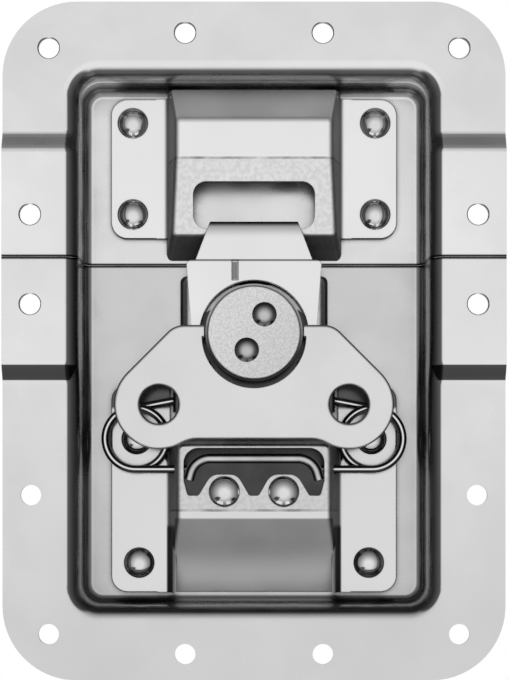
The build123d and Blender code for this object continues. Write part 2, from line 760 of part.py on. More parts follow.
# ---------------------------------------------------------------- slider
with BuildPart() as slider:
    with BuildSketch(Plane.XY.offset(SLIDER_Z)) as slider_plate:
        nose_y = ECCENTRIC_Y + ECCENTRIC_R + YOKE_SPARE + SLIDER_NOSE
        with Locations((0, (nose_y + CROSSBAR_REAR_Y) / 2)):
            Rectangle(2 * SLIDER_X, nose_y - CROSSBAR_REAR_Y)
        fillet(slider_plate.vertices().group_by(Axis.Y)[-1], SLIDER_NOSE)
        with Locations((0, (CROSSBAR_FRONT_Y + CROSSBAR_REAR_Y) / 2)):
            Rectangle(2 * (EAR_X + EAR_THICK), CROSSBAR_FRONT_Y - CROSSBAR_REAR_Y)
        # The cross slot in which the hub's eccentric runs.
        with Locations((0, ECCENTRIC_Y)):
            SlotOverall(
                2 * (ECCENTRIC_R + THROW + YOKE_SPARE),
                2 * (ECCENTRIC_R + YOKE_SPARE),
                mode=Mode.SUBTRACT,
            )
    extrude(amount=SLIDER_THICK)
    # Ears folded down outside the deck take the spring's tails.
    ear_depth = SLIDER_TOP - FLOOR - EAR_FLOOR_GAP
    with BuildSketch(Plane.XY.offset(SLIDER_TOP)):
        for side in (-1, 1):
            with Locations((side * EAR_MID_X, TAIL_Y)):
                Rectangle(EAR_THICK, EAR_WIDTH)
    extrude(amount=-ear_depth)
    fillet(
        edges().filter_by(Axis.Y).filter_by(
            lambda edge: abs(abs(edge.center().X) - EAR_X - EAR_THICK) < 0.01
            and edge.center().Z > SLIDER_TOP - 0.01
        ),
        EAR_BEND_R,
    )
    with BuildSketch(Plane.YZ):
        with Locations((TAIL_Y, WIRE_LOW_Z)):
            Circle(WIRE_R + TAIL_HOLE_SPARE)
    extrude(amount=EAR_X + 2 * EAR_THICK, both=True, mode=Mode.SUBTRACT)
    # Lugs folded up between the hook's arms carry its pins.
    for side in (-1, 1):
        inner = side * (SLIDER_X - LUG_THICK)
        with BuildSketch(Plane.YZ.offset(inner)):
            with Locations((PIVOT_Y, PIVOT_Z)):
                Circle(HOOK_KNUCKLE_R)
            with Locations((PIVOT_Y, (PIVOT_Z + SLIDER_Z) / 2)):
                Rectangle(2 * HOOK_KNUCKLE_R, PIVOT_Z - SLIDER_Z)
            with Locations((PIVOT_Y, PIVOT_Z)):
                Circle(HOOK_PIN_R, mode=Mode.SUBTRACT)
        extrude(amount=side * LUG_THICK)
save(slider, "slider")

# ---------------------------------------------------------------- hook
with BuildPart() as hook:
    with BuildSketch(Plane.XY.offset(HOOK_Z)) as hook_plate:
        with BuildLine():
            Polyline(
                (0, HOOK_TIP_Y),
                (HOOK_TIP_X, HOOK_TIP_Y),
                (HOOK_ROOT_X, HOOK_SHOULDER_Y),
                (HOOK_SHOULDER_X, HOOK_SHOULDER_Y),
                (HOOK_ARM_X, HOOK_ARM_Y),
                (HOOK_ARM_X, PIVOT_Y),
                (0, PIVOT_Y),
                close=True,
            )
        make_face()
        shoulder = hook_plate.vertices().sort_by_distance(
            (HOOK_SHOULDER_X, HOOK_SHOULDER_Y, HOOK_Z)
        )[0]
        fillet(shoulder, HOOK_SHOULDER_R)
        mirror(about=Plane.YZ)
        # The bay leaves room for the hub's neck and its seat on the slider.
        with Locations((0, HUB_Y)):
            Circle(HOOK_BAY_R, mode=Mode.SUBTRACT)
        with Locations((0, (HUB_Y + PIVOT_Y) / 2 - HOOK_KNUCKLE_R)):
            Rectangle(
                2 * (SLIDER_X + SIDE_GAP),
                HUB_Y - PIVOT_Y + 2 * HOOK_KNUCKLE_R,
                mode=Mode.SUBTRACT,
            )
    extrude(amount=HOOK_THICK)
    # The lip, folded down into the keeper's slot.
    with BuildSketch(Plane.XZ.offset(-HOOK_TIP_Y)):
        with Locations((0, HOOK_TOP - LIP_DEPTH / 2)):
            Rectangle(2 * HOOK_TIP_X, LIP_DEPTH)
    extrude(amount=HOOK_THICK)
    tip_edges = edges().filter_by(Axis.X).filter_by(
        lambda edge: edge.center().Y > HOOK_TIP_Y - 0.01
    )
    fillet(tip_edges.sort_by(Axis.Z)[-1], LIP_BEND_R)
    # Rolled knuckles at the ends of the arms.
    for side in (-1, 1):
        with BuildSketch(Plane.YZ.offset(side * (SLIDER_X + SIDE_GAP))):
            with Locations((PIVOT_Y, PIVOT_Z)):
                Circle(HOOK_KNUCKLE_R)
        extrude(amount=side * (HOOK_ARM_X - SLIDER_X - SIDE_GAP))
    with BuildSketch(Plane.YZ):
        with Locations((PIVOT_Y, PIVOT_Z)):
            Circle(HOOK_PIN_R + RUNNING_FIT)
    extrude(amount=2 * HOOK_ARM_X, both=True, mode=Mode.SUBTRACT)
    # A shallow pressed mark beside the middle.
    with BuildSketch(Plane.XY.offset(HOOK_TOP)):
        groove_foot = HUB_Y + HOOK_BAY_R
        with Locations((GROOVE_X, (groove_foot + HOOK_SHOULDER_Y) / 2)):
            Rectangle(GROOVE_WIDTH, HOOK_SHOULDER_Y - groove_foot)
    extrude(amount=-GROOVE_DEPTH, mode=Mode.SUBTRACT)
save(hook, "hook")

for side, name in ((-1, "hook_pin_left"), (1, "hook_pin_right")):
    with BuildPart() as hook_pin:
        head_x = SLIDER_X - LUG_THICK - HOOK_PIN_HEAD
        with BuildSketch(Plane.YZ.offset(side * head_x)):
            with Locations((PIVOT_Y, PIVOT_Z)):
                Circle(HOOK_PIN_HEAD_R)
        extrude(amount=side * HOOK_PIN_HEAD)
        with BuildSketch(Plane.YZ.offset(side * head_x)):
            with Locations((PIVOT_Y, PIVOT_Z)):
                Circle(HOOK_PIN_R - PIN_SEAT)
        extrude(amount=side * (HOOK_ARM_X + SIDE_GAP - head_x))
    save(hook_pin, name)

# ---------------------------------------------------------------- hub
NECK_Z = SLIDER_TOP + STACK_GAP
ECCENTRIC_Z = DECK_TOP + STACK_GAP
WASHER_TOP = DECK_BACK - STACK_GAP
RING_TOP = WASHER_TOP - WASHER_THICK - STACK_GAP
RING_Z = RING_TOP - RING_THICK
with BuildPart() as hub:
    with BuildSketch(Plane.XY.offset(HUB_Z)):
        with Locations((0, HUB_Y)):
            Circle(HUB_R)
    extrude(amount=HUB_THICK)
    with BuildSketch(Plane.XY.offset(NECK_Z)):
        with Locations((0, HUB_Y)):
            Circle(NECK_R)
    extrude(amount=HUB_Z - NECK_Z)
    with BuildSketch(Plane.XY.offset(ECCENTRIC_Z)):
        with Locations((0, ECCENTRIC_Y)):
            Circle(ECCENTRIC_R)
    extrude(amount=NECK_Z - ECCENTRIC_Z)
    with BuildSketch(Plane.XY.offset(RING_Z - SHAFT_END)):
        with Locations((0, HUB_Y)):
            Circle(SHAFT_R)
    extrude(amount=ECCENTRIC_Z - RING_Z + SHAFT_END)
    # The groove for the retaining ring.
    with BuildSketch(Plane.XY.offset(RING_Z - RUNNING_FIT)):
        with Locations((0, HUB_Y)):
            Circle(RING_R)
            Circle(GROOVE_R, mode=Mode.SUBTRACT)
    extrude(amount=RING_THICK + 2 * RUNNING_FIT, mode=Mode.SUBTRACT)
    # Blind bores for the wing's pins, and for the cap's rivets.
    for side in (-1, 1):
        with BuildSketch(Plane.YZ.offset(side * EAR_INNER_X)):
            with Locations((HUB_Y, WING_AXIS_Z)):
                Circle(WING_PIN_R)
        extrude(amount=-side * (EAR_GAP + WING_PIN_DEPTH), mode=Mode.SUBTRACT)
    with BuildSketch(Plane.XY.offset(HUB_TOP)):
        with Locations(*CAP_RIVETS):
            Circle(CAP_RIVET_R + RIVET_FIT)
    extrude(amount=-CAP_RIVET_LENGTH, mode=Mode.SUBTRACT)
save(hub, "hub")

with BuildPart() as hub_washer:
    with BuildSketch(Plane.XY.offset(WASHER_TOP)):
        with Locations((0, HUB_Y)):
            Circle(WASHER_R)
            Circle(SHAFT_R + RUNNING_FIT, mode=Mode.SUBTRACT)
    extrude(amount=-WASHER_THICK)
save(hub_washer, "hub_washer")

with BuildPart() as hub_ring:
    with BuildSketch(Plane.XY.offset(RING_TOP)):
        with Locations((0, HUB_Y)):
            Circle(RING_R)
            Circle(GROOVE_R + RUNNING_FIT, mode=Mode.SUBTRACT)
        with Locations((0, HUB_Y - RING_R)):
            Rectangle(2 * GROOVE_R, 2 * RING_R, mode=Mode.SUBTRACT)
    extrude(amount=-RING_THICK)
save(hub_ring, "hub_ring")

with BuildPart() as hub_cap:
    with BuildSketch(Plane.XY.offset(HUB_TOP)):
        with Locations((0, HUB_Y)):
            Circle(CAP_R)
    extrude(amount=CAP_THICK)
    fillet(edges().group_by(Axis.Z)[-1], CAP_EDGE_R)
    with BuildSketch(Plane.XY.offset(CAP_TOP)):
        with Locations(*CAP_RIVETS):
            Circle(CAP_RIVET_R + RIVET_FIT)
    extrude(amount=-CAP_THICK, mode=Mode.SUBTRACT)
save(hub_cap, "hub_cap")

for number, place in enumerate(CAP_RIVETS, start=1):
    piece = rivet(
        place,
        CAP_TOP,
        CAP_RIVET_HEAD_R,
        CAP_RIVET_HEAD_H,
        CAP_RIVET_R,
        HUB_TOP - CAP_RIVET_LENGTH + STACK_GAP,
        0,
        0,
    )
    save(piece, f"cap_rivet_{number}")

# ---------------------------------------------------------------- wing
shoulder_run = hypot(SHOULDER_X - LOBE_X, EAR_TOP_Y - LOBE_Y)
lobe_start = degrees(
    atan2(EAR_TOP_Y - LOBE_Y, SHOULDER_X - LOBE_X) - acos(LOBE_R / shoulder_run)
)
lobe_end = degrees(asin((LOBE_Y - WING_FOOT_Y) / LOBE_R)) - 180
with BuildPart() as wing:
    with BuildSketch(Plane.XY.offset(WING_Z)) as wing_outline:
        with BuildLine():
            bay = CenterArc((0, BAY_Y), BAY_R, -90, 90)
            Line(bay @ 1, (EAR_INNER_X, BAY_Y))
            Line((EAR_INNER_X, BAY_Y), (EAR_INNER_X, EAR_TOP_Y))
            Line((EAR_INNER_X, EAR_TOP_Y), (SHOULDER_X, EAR_TOP_Y))
            lobe = CenterArc((LOBE_X, LOBE_Y), LOBE_R, lobe_start, lobe_end - lobe_start)
            Line((SHOULDER_X, EAR_TOP_Y), lobe @ 0)
            Line(lobe @ 1, (0, WING_FOOT_Y))
            Line((0, WING_FOOT_Y), bay @ 0)
        make_face()
        shoulder = Vector(SHOULDER_X, EAR_TOP_Y, WING_Z)
        fillet(wing_outline.vertices().sort_by_distance(shoulder)[0], SHOULDER_R)
        blend = lobe @ 1 + Vector(0, 0, WING_Z)
        fillet(wing_outline.vertices().sort_by_distance(blend)[0], WING_BLEND_R)
        mirror(about=Plane.YZ)
        with Locations((-LOBE_X, LOBE_Y), (LOBE_X, LOBE_Y)):
            Circle(LOBE_HOLE_R, mode=Mode.SUBTRACT)
    extrude(amount=WING_THICK)
    rim = [
        edge
        for edge in edges()
        if edge.bounding_box().size.Z < 0.01
        and not (abs(edge.center().X) < BAY_R and edge.center().Y > BAY_Y - BAY_R - 0.1)
    ]
    fillet(rim, WING_EDGE_R)
    # Knuckles under the ears, and the bores for the hinge pins.
    for side in (-1, 1):
        with BuildSketch(Plane.YZ.offset(side * EAR_INNER_X)):
            with Locations((HUB_Y, WING_AXIS_Z)):
                Circle(KNUCKLE_R)
        extrude(amount=side * (SHOULDER_X - WING_EDGE_R - EAR_INNER_X))
    with BuildSketch(Plane.YZ):
        with Locations((HUB_Y, WING_AXIS_Z)):
            Circle(WING_PIN_R + RUNNING_FIT)
    extrude(amount=2 * SHOULDER_X, both=True, mode=Mode.SUBTRACT)
save(wing, "wing")

for side, name in ((-1, "wing_pin_left"), (1, "wing_pin_right")):
    with BuildPart() as wing_pin:
        with BuildSketch(Plane.YZ.offset(side * (HUB_R - WING_PIN_DEPTH + STACK_GAP))):
            with Locations((HUB_Y, WING_AXIS_Z)):
                Circle(WING_PIN_R - PIN_SEAT)
        extrude(amount=side * (SHOULDER_X - WING_EDGE_R - HUB_R + WING_PIN_DEPTH - STACK_GAP))
    save(wing_pin, name)
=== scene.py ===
import math

import bpy
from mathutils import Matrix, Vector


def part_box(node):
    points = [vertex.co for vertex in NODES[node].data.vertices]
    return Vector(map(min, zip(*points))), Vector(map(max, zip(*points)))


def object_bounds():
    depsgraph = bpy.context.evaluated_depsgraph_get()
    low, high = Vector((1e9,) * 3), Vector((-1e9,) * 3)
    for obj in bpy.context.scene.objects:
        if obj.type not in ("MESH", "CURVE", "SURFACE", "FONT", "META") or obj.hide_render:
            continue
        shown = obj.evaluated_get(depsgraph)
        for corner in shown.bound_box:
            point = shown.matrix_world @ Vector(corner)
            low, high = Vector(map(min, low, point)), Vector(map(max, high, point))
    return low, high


# A recessed butterfly draw latch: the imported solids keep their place, and this
# script gives them their plated finishes, the light and the view.

MM = 0.001
X, Y, Z = 0, 1, 2

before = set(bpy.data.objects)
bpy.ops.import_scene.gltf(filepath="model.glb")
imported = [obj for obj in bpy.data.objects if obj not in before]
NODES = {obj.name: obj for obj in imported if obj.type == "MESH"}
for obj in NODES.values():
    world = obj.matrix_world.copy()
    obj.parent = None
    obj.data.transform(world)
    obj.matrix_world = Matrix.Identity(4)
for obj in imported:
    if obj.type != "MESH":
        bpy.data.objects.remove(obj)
CAD_BOX = [list(corner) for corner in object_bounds()]


def lowest(node, axis):
    """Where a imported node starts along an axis."""
    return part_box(node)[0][axis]


def highest(node, axis):
    """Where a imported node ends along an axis."""
    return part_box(node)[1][axis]


# the dish: its sheet, the flange, the raised band with its ramps and the parting line
SHEET = 1.2 * MM
BAND_RAISE = 2.0 * MM
BAND_TOP = highest("lid_dish", Z)
FLANGE_TOP = BAND_TOP - BAND_RAISE
WELL_FLOOR = lowest("lid_dish", Z) + SHEET
BASE_END = lowest("base_dish", Y)
SPLIT = (lowest("lid_dish", Y) + highest("base_dish", Y)) / 2
LID_RAMP = highest("lid_dish", Y) - 35.4 * MM
BASE_RAMP = SPLIT - 29 * MM

# the brackets: their side plates, and the crests where their tops are folded
PLATE = 1.5 * MM
PLATE_TOP = WELL_FLOOR + PLATE
KEEPER_CREST = highest("keeper", Y) - 18.8 * MM
HUMP_CREST = lowest("latch_body", Y) + 21.3 * MM
HUMP_SIDE = 20.4 * MM
HUMP_FOOT = 22.6 * MM

# the working parts
SADDLE_FLAT = lowest("spring_saddle", Z) + 0.8 * MM
SADDLE_FRONT = highest("spring_saddle", Y)
SADDLE_SIDE = highest("spring_saddle", X)
SLIDER_REAR = lowest("slider", Y)
HOOK_TIP = highest("hook", Y)
HOOK_STEP = HOOK_TIP - 10.1 * MM
GROOVE_X = -4.9 * MM
GROOVE_LENGTH = 5 * MM
HUB_Y = (lowest("hub", Y) + highest("hub", Y)) / 2

# ------------------------------------------------------------------ finishes


class Finish:
    """One node-based metal finish, its base grey built up from factors."""

    def __init__(self, name, base, roughness, edge=0.0):
        self.base = base
        self.material = bpy.data.materials.new(name)
        self.material.use_nodes = True
        self.tree = self.material.node_tree
        self.nodes = self.tree.nodes
        self.shader = self.nodes["Principled BSDF"]
        self.shader.inputs["Metallic"].default_value = 1.0
        self.shader.inputs["Roughness"].default_value = roughness
        self.shader.inputs["Base Color"].default_value = (base, base, base, 1)
        place = self.add("ShaderNodeTexCoord")
        self.place = place.outputs["Object"]
        self.x, self.y, self.z = self.split(self.place)
        self.off_middle = self.math("ABSOLUTE", self.x)
        face_x, self.face_y, face_z = self.split(place.outputs["Normal"])
        self.sideways = self.math("ABSOLUTE", face_x)
        self.level = self.math("ABSOLUTE", face_z)
        self.normal = None
        self.grey = None
        if edge:
            rounded = self.add("ShaderNodeBevel", samples=6)
            rounded.inputs["Radius"].default_value = edge
            self.normal = rounded.outputs["Normal"]

    def add(self, kind, **settings):
        node = self.nodes.new(kind)
        for key, value in settings.items():
            setattr(node, key, value)
        return node

    def join(self, source, target):
        self.tree.links.new(source, target)

    def set_or_join(self, value, socket):
        """Give a socket a number, or another node's output."""
        if isinstance(value, (int, float)):
            socket.default_value = value
        else:
            self.join(value, socket)

    def split(self, vector):
        node = self.add("ShaderNodeSeparateXYZ")
        self.join(vector, node.inputs[0])
        return node.outputs

    def math(self, operation, *values):
        node = self.add("ShaderNodeMath", operation=operation)
        for socket, value in zip(node.inputs, values):
            self.set_or_join(value, socket)
        return node.outputs[0]

    def distance(self, value, centre):
        return self.math("ABSOLUTE", self.math("SUBTRACT", value, centre))

    def noise(self, scale, detail=3.0, stretch=(1, 1, 1)):
        mapping = self.add("ShaderNodeMapping")
        mapping.inputs["Scale"].default_value = stretch
        self.join(self.place, mapping.inputs["Vector"])
        node = self.add("ShaderNodeTexNoise")
        node.inputs["Scale"].default_value = scale
        node.inputs["Detail"].default_value = detail
        self.join(mapping.outputs["Vector"], node.inputs["Vector"])
        return node.outputs["Fac"]

    def spread(self, value, start, end, low, high):
        """Map start..end smoothly onto low..high, flat outside."""
        node = self.add("ShaderNodeMapRange", interpolation_type="SMOOTHSTEP")
        self.join(value, node.inputs["Value"])
        self.set_or_join(start, node.inputs["From Min"])
        self.set_or_join(end, node.inputs["From Max"])
        self.set_or_join(low, node.inputs["To Min"])
        self.set_or_join(high, node.inputs["To Max"])
        return node.outputs["Result"]

    def rise(self, value, start, end):
        """0 before start and 1 after end."""
        return self.spread(value, start, end, 0, 1)

    def fall(self, value, start, end):
        """1 before start and 0 after end."""
        return self.spread(value, start, end, 1, 0)

    def line(self, value, centre, half_width, depth):
        """A factor that reaches depth in a soft line about centre, and 1 elsewhere."""
        off = self.distance(value, centre)
        return self.spread(off, half_width * 0.4, half_width, depth, 1.0)

    def all_of(self, *masks):
        result = masks[0]
        for mask in masks[1:]:
            result = self.math("MULTIPLY", result, mask)
        return result

    def shade(self, factor):
        """Multiply the base grey by a factor."""
        before = self.base if self.grey is None else self.grey
        self.grey = self.math("MULTIPLY", factor, before)
        colour = self.add("ShaderNodeCombineColor")
        for channel in ("Red", "Green", "Blue"):
            self.join(self.grey, colour.inputs[channel])
        self.join(colour.outputs["Color"], self.shader.inputs["Base Color"])

    def shade_where(self, mask, factor):
        """Multiply the base grey by a factor where the mask is 1."""
        self.shade(self.spread(mask, 0.0, 1.0, 1.0, factor))

    def clouds(self, scale, amount, detail=4):
        self.shade(self.spread(self.noise(scale, detail), 0.3, 0.7, 1 - amount, 1 + amount))

    def painted_occlusion_shade(self, distance, dark, start=0.35, end=0.9):
        """Painted shade from an occlusion node: darker where surfaces meet and in deep places."""
        node = self.add("ShaderNodeAmbientOcclusion", samples=6)
        node.inputs["Distance"].default_value = distance
        self.shade(self.spread(node.outputs["AO"], start, end, dark, 1.0))

    def polish(self, pattern, low, high):
        """Let the roughness follow a pattern."""
        roughness = self.spread(pattern, 0.3, 0.7, low, high)
        self.join(roughness, self.shader.inputs["Roughness"])
        return roughness

    def bump(self, pattern, strength, distance):
        node = self.add("ShaderNodeBump")
        node.inputs["Strength"].default_value = strength
        node.inputs["Distance"].default_value = distance
        self.join(pattern, node.inputs["Height"])
        if self.normal is not None:
            self.join(self.normal, node.inputs["Normal"])
        self.normal = node.outputs["Normal"]
        self.join(self.normal, self.shader.inputs["Normal"])

    def rolled_grain(self):
        """The mill's fine grain along the sheet, and its slight waves."""
        self.bump(self.noise(1400, 3, stretch=(1, 0.35, 1)), 0.25, 0.01 * MM)
        self.bump(self.noise(70, 2), 0.25, 0.08 * MM)


def rolled_sheet(name, base, rough_low, rough_high, edge=0.0):
    """Zinc-plated sheet: soft cloudy polish and a fine rolled grain."""
    finish = Finish(name, base, rough_low, edge)
    finish.clouds(45, 0.03)
    finish.polish(finish.noise(90, 5), rough_low, rough_high)
    finish.rolled_grain()
    return finish


def dish_sheet(name, base, floor_tone):
    """Deep-drawn dish: bright flange and band, darker floor, walls painted dark as painted shade
    with a painted highlight line.
    """
    finish = rolled_sheet(name, base, 0.22, 0.34)
    finish.shade(
        finish.spread(finish.z, WELL_FLOOR + 0.6 * MM, WELL_FLOOR + 2 * MM, floor_tone, 1)
    )
    finish.shade(finish.spread(finish.z, FLANGE_TOP + 0.8 * MM, BAND_TOP - 0.2 * MM, 1, 1.05))
    paint_wall_shade(finish)
    band_ramps(finish)
    # the cut edge where the two halves meet
    finish.shade(finish.line(finish.y, SPLIT, 0.8 * MM, 0.02))
    finish.painted_occlusion_shade(1.6 * MM, 0.4)
    finish.painted_occlusion_shade(12 * MM, 0.6, start=0.12, end=0.42)
    return finish


def paint_wall_shade(finish):
    """The drawn wall is painted dark as painted shade from its rounded rim down, with one painted
    highlight line.
    """
    steep = finish.fall(finish.level, 0.94, 0.99)
    below_flange = finish.fall(finish.z, FLANGE_TOP - 1.0 * MM, FLANGE_TOP - 0.1 * MM)
    faces_middle = finish.rise(finish.sideways, 0.08, 0.3)
    rim = finish.all_of(steep, finish.math("MAXIMUM", below_flange, faces_middle))
    tone = finish.spread(finish.z, FLANGE_TOP - 3.2 * MM, FLANGE_TOP - 0.4 * MM, 0.42, 0.17)
    painted_highlight_line = finish.line(finish.z, FLANGE_TOP - 5.8 * MM, 0.8 * MM, 2.4)
    # painted shade on the wall, with a painted highlight line along it
    finish.shade_where(rim, finish.math("MULTIPLY", tone, painted_highlight_line))


def band_ramps(finish):
    """The band's ramps get painted light and shade by their slope: the one towards the base end
    is painted darker.
    """
    outside = finish.rise(finish.z, FLANGE_TOP - 0.5 * MM, FLANGE_TOP - 0.1 * MM)
    for middle, bend_tone, slope_tone in ((LID_RAMP, 0.42, 0.95), (BASE_RAMP, 0.08, 0.1)):
        off = finish.distance(finish.y, middle)
        ramp = finish.all_of(finish.fall(off, 1.7 * MM, 2.1 * MM), outside)
        tone = finish.spread(finish.level, 0.9, 0.99, slope_tone, bend_tone)
        # painted light and shade on each ramp by its slope
        finish.shade_where(ramp, tone)
    # a painted highlight line at the foot of the ramp towards the lid end
    finish.shade_where(outside, finish.line(finish.y, LID_RAMP + 2.6 * MM, 0.6 * MM, 1.12))


def base_dish_sheet(name, base):
    """The base half: darker towards its far end, and painted shade behind the saddle's rib."""
    finish = dish_sheet(name, base, floor_tone=0.84)
    finish.shade(finish.spread(finish.y, BASE_END, 0.0, 0.86, 1))
    # painted shade on the floor behind the saddle's rib
    painted_shade_behind_rib = finish.all_of(
        finish.rise(finish.y, SADDLE_FRONT - 7.75 * MM, SADDLE_FRONT - 6.25 * MM),
        finish.fall(finish.y, SADDLE_FRONT + 3.75 * MM, SADDLE_FRONT + 5.25 * MM),
        finish.fall(finish.off_middle, SADDLE_SIDE + 1 * MM, SADDLE_SIDE + 2 * MM),
    )
    finish.shade_where(painted_shade_behind_rib, 0.15)
    return finish


def bracket_sheet(name, base, crest, nose_side, shaded_slope_tone):
    """Pressed bracket: bright flats, painted shade on the flanks, a mottled nose with a painted
    shade line at its crest, and painted light and shade on the slopes.

    nose_side is 1 where the nose lies towards the base end of the crest, else -1.
    """
    finish = Finish(name, base, 0.2, edge=0.3 * MM)
    finish.clouds(45, 0.02)
    sheen = finish.polish(finish.noise(90, 5), 0.13, 0.22)
    satin = finish.spread(finish.level, 0.8, 0.95, 0.5, 0.0)
    finish.roughness = finish.math("ADD", sheen, satin)
    finish.join(finish.roughness, finish.shader.inputs["Roughness"])
    finish.rolled_grain()
    # painted shade on the flanks that face sideways
    finish.shade_where(finish.rise(finish.sideways, 0.35, 0.75), 0.35)
    # the nose is mottled, and the fold at its crest is painted dark as a painted shade line
    raised = finish.rise(finish.z, PLATE_TOP + 0.3 * MM, PLATE_TOP + 1.5 * MM)
    nose = finish.fall(finish.y, crest - 0.6 * MM * nose_side, crest + 0.3 * MM * nose_side)
    mottled = finish.spread(finish.noise(900, 6), 0.35, 0.65, 0.8, 0.92)
    finish.shade_where(finish.all_of(raised, nose), mottled)
    at_crest = finish.fall(finish.line(finish.y, crest, 0.45 * MM, 0), 0, 1)
    painted_crest_shade = finish.spread(finish.noise(160, 3), 0.3, 0.7, 0.3, 0.85)
    finish.shade_where(finish.all_of(raised, at_crest), painted_crest_shade)
    # painted light and shade on slopes: those that face the lid end are painted lighter, those
    # that face the base end darker
    slope = finish.fall(finish.level, 0.6, 0.93)
    finish.shade_where(slope, finish.spread(finish.face_y, -0.75, 0.5, shaded_slope_tone, 1.5))
    finish.painted_occlusion_shade(1.0 * MM, 0.3)
    finish.painted_occlusion_shade(12 * MM, 0.6, start=0.12, end=0.4)
    return finish


def body_sheet(name, base):
    """The latch body: a long satin slope behind the hump with painted light and shade along it,
    and a painted shadow below the wing.
    """
    finish = bracket_sheet(name, base, HUMP_CREST, nose_side=-1, shaded_slope_tone=0.36)
    # painted light and shade along the slope behind the hump: lighter far from the crest, darker
    # near it; the slope is also rougher
    behind = finish.all_of(
        finish.fall(finish.y, HUMP_CREST - 2.3 * MM, HUMP_CREST - 1.8 * MM),
        finish.fall(finish.off_middle, HUMP_SIDE - 0.1 * MM, HUMP_SIDE + 0.1 * MM),
    )
    tone = finish.spread(finish.y, HUMP_CREST - 20 * MM, HUMP_CREST - 8 * MM, 1.45, 0.62)
    finish.shade_where(behind, tone)
    rougher = finish.math("ADD", finish.roughness, finish.math("MULTIPLY", behind, 0.4))
    finish.join(rougher, finish.shader.inputs["Roughness"])
    # painted shade on the cut edges beside that slope
    painted_shade_beside_slope = finish.all_of(
        finish.rise(finish.off_middle, HUMP_SIDE - 0.1 * MM, HUMP_SIDE + 0.1 * MM),
        finish.fall(finish.off_middle, HUMP_FOOT - 0.2 * MM, HUMP_FOOT + 0.2 * MM),
        finish.fall(finish.y, HUMP_CREST - 5 * MM, HUMP_CREST - 3 * MM),
    )
    finish.shade_where(painted_shade_beside_slope, 0.16)
    # a painted shadow of the wing on the side plates' ends below it
    painted_wing_shadow = finish.all_of(
        finish.rise(finish.y, SLIDER_REAR + 0.5 * MM, SLIDER_REAR + 1.9 * MM),
        finish.fall(finish.z, PLATE_TOP + 0.2 * MM, PLATE_TOP + 0.9 * MM),
    )
    finish.shade_where(painted_wing_shadow, 0.14)
    return finish


def keeper_sheet(name, base):
    """The keeper: the foot that bends down in front, beside the hook, painted dark as painted
    shade.
    """
    finish = bracket_sheet(name, base, KEEPER_CREST, nose_side=1, shaded_slope_tone=0.25)
    # painted shade on faces that face the front
    finish.shade_where(finish.fall(finish.face_y, -0.6, -0.4), 0.4)
    return finish


def bright_steel(name, base, roughness, rim_tone=1.0):
    """Polished steel on a domed head: almost a mirror, with slight waves, and painted shade
    towards the rim.
    """
    finish = Finish(name, base, roughness)
    # painted shade towards the dome's rim
    finish.shade(finish.spread(finish.level, 0.86, 0.99, rim_tone, 1))
    finish.clouds(180, 0.05)
    finish.polish(finish.noise(150, 4), roughness, roughness * 1.8)
    finish.bump(finish.noise(220, 2), 0.2, 0.03 * MM)
    finish.painted_occlusion_shade(0.4 * MM, 0.25)
    return finish


def wing_sheet(name, base):
    """The wing: fine satin face, and its rolled edge painted dark as painted shade."""
    finish = rolled_sheet(name, base, 0.24, 0.34, edge=0.3 * MM)
    # painted shade on the rolled edge and other sloping faces
    finish.shade(finish.spread(finish.level, 0.6, 0.97, 0.45, 1))
    finish.painted_occlusion_shade(1.0 * MM, 0.4)
    return finish


def hook_sheet(name, base):
    """The hook: painted shade on its edges, a painted shade line at the crease of the step,
    painted shade in the pressed groove and towards the tip.
    """
    finish = rolled_sheet(name, base, 0.16, 0.26, edge=0.35 * MM)
    # painted shade on sloping edges, a painted shade line at the crease of the step, and painted
    # shade towards the tip
    finish.shade(finish.spread(finish.level, 0.6, 0.97, 0.4, 1))
    finish.shade(finish.line(finish.y, HOOK_STEP, 0.35 * MM, 0.25))
    finish.shade(finish.spread(finish.y, HOOK_TIP - 4.6 * MM, HOOK_TIP - 0.6 * MM, 1, 0.4))
    # painted shade in the pressed groove
    groove_end = HOOK_STEP - GROOVE_LENGTH
    groove = finish.all_of(
        finish.fall(finish.distance(finish.x, GROOVE_X), 0.5 * MM, 1.0 * MM),
        finish.rise(finish.y, groove_end - 0.2 * MM, groove_end + 0.4 * MM),
        finish.fall(finish.y, HOOK_STEP - 0.6 * MM, HOOK_STEP - 0.2 * MM),
    )
    finish.shade_where(groove, 0.28)
    finish.painted_occlusion_shade(1.0 * MM, 0.35)
    return finish


def inner_steel(name, base):
    """Steel below the hook and the hub, given a dark grey as painted shade, with a soft shine."""
    finish = Finish(name, base, 0.2)
    finish.clouds(120, 0.15)
    finish.polish(finish.noise(90, 4), 0.2, 0.32)
    finish.bump(finish.noise(160, 3), 0.2, 0.05 * MM)
    finish.painted_occlusion_shade(3.0 * MM, 0.3)
    return finish


def hub_steel(name, base):
    """The hub under its cap: painted shade, darker towards the wing's bay."""
    finish = Finish(name, base, 0.3)
    # painted shade, darker towards the wing's bay
    finish.shade(finish.spread(finish.y, HUB_Y - 6.2 * MM, HUB_Y + 6.8 * MM, 0.1, 1))
    finish.clouds(120, 0.15)
    finish.painted_occlusion_shade(1.5 * MM, 0.3)
    return finish


def spring_wire(name, base):
    """Hard-drawn wire: flanks painted dark as painted shade, with one narrow painted highlight
    line on top.
    """
    finish = Finish(name, base, 0.1)
    # painted shade on the flanks and a painted highlight line on top
    finish.shade(finish.spread(finish.level, 0.955, 0.999, 0.07, 0.9))
    finish.bump(finish.noise(160, 3), 0.2, 0.05 * MM)
    finish.painted_occlusion_shade(1.5 * MM, 0.25)
    return finish


